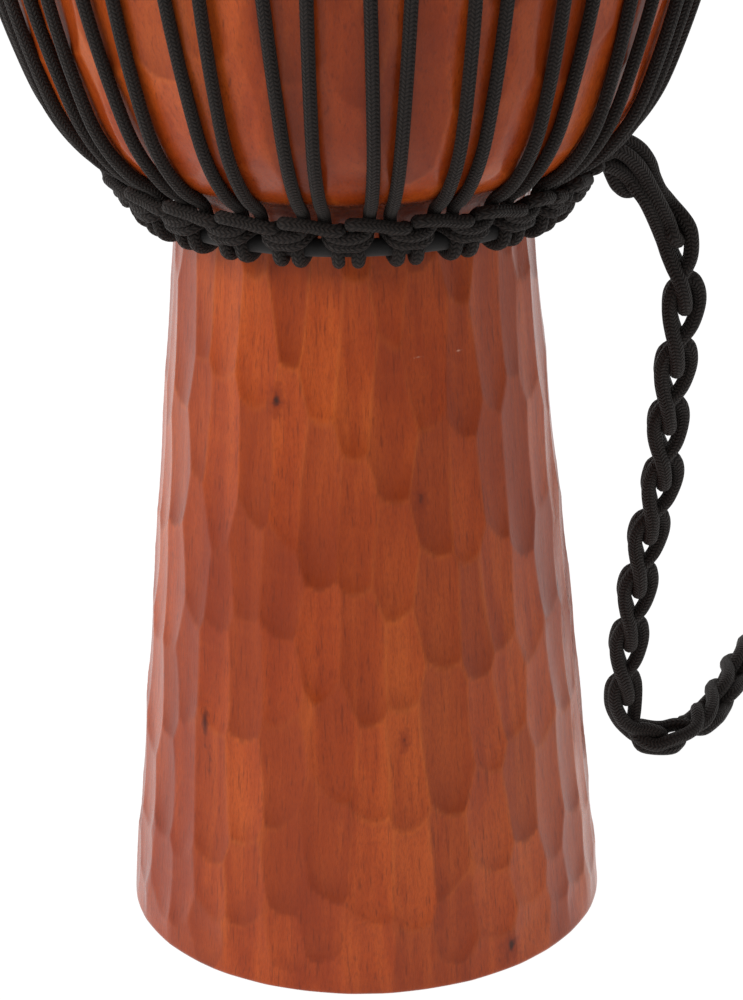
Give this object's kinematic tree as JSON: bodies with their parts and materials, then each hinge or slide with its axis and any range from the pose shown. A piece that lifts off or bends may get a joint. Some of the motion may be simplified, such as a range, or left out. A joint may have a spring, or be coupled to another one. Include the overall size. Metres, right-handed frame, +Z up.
{
  "type": "djembe drum",
  "caption": "Rope-tuned goblet hand drum with a carved wooden shell, goatskin head, steel rings, black braided lacing and a chain-stitched rope tail.",
  "frame": {"origin": "centre of the foot, on the surface the drum stands on", "axes": "+Z up along the drum's axis towards the head; -Y is the side seen in front, the rope tail hangs on the +X side"},
  "size_m": [0.5307, 0.4525, 0.6015],
  "materials": {
    "carved_wood": "hand-carved hardwood, reddish-brown stain under clear satin-gloss lacquer",
    "goatskin": "natural rawhide goatskin, matt, shaved on top",
    "ring_steel": "plain round steel rod",
    "ring_cloth": "black cotton strip wrapped over the ring",
    "black_rope": "black braided polyester rope, matt with a soft sheen"
  },
  "bodies": {
    "drum": {"shell": "carved_wood", "goatskin_head": "goatskin", "waist_ring": "ring_steel", "waist_ring_wrap": "ring_cloth", "waist_loops": "black_rope", "lacing_rope": "black_rope", "tail_start_knot": "black_rope", "tail_chain": "black_rope", "tail_end_knot": "black_rope"},
    "crown": {"flesh_ring": "ring_steel", "crown_ring": "ring_steel", "crown_ring_wrap": "ring_cloth", "crown_loops": "black_rope"}
  },
  "joints": [
    {"name": "crown_slide", "type": "slide", "parent": "drum", "child": "crown", "axis": [0, 0, 1], "range_m": [-0.006, 0.004], "deforming": ["lacing_rope", "goatskin_head"]}
  ]
}
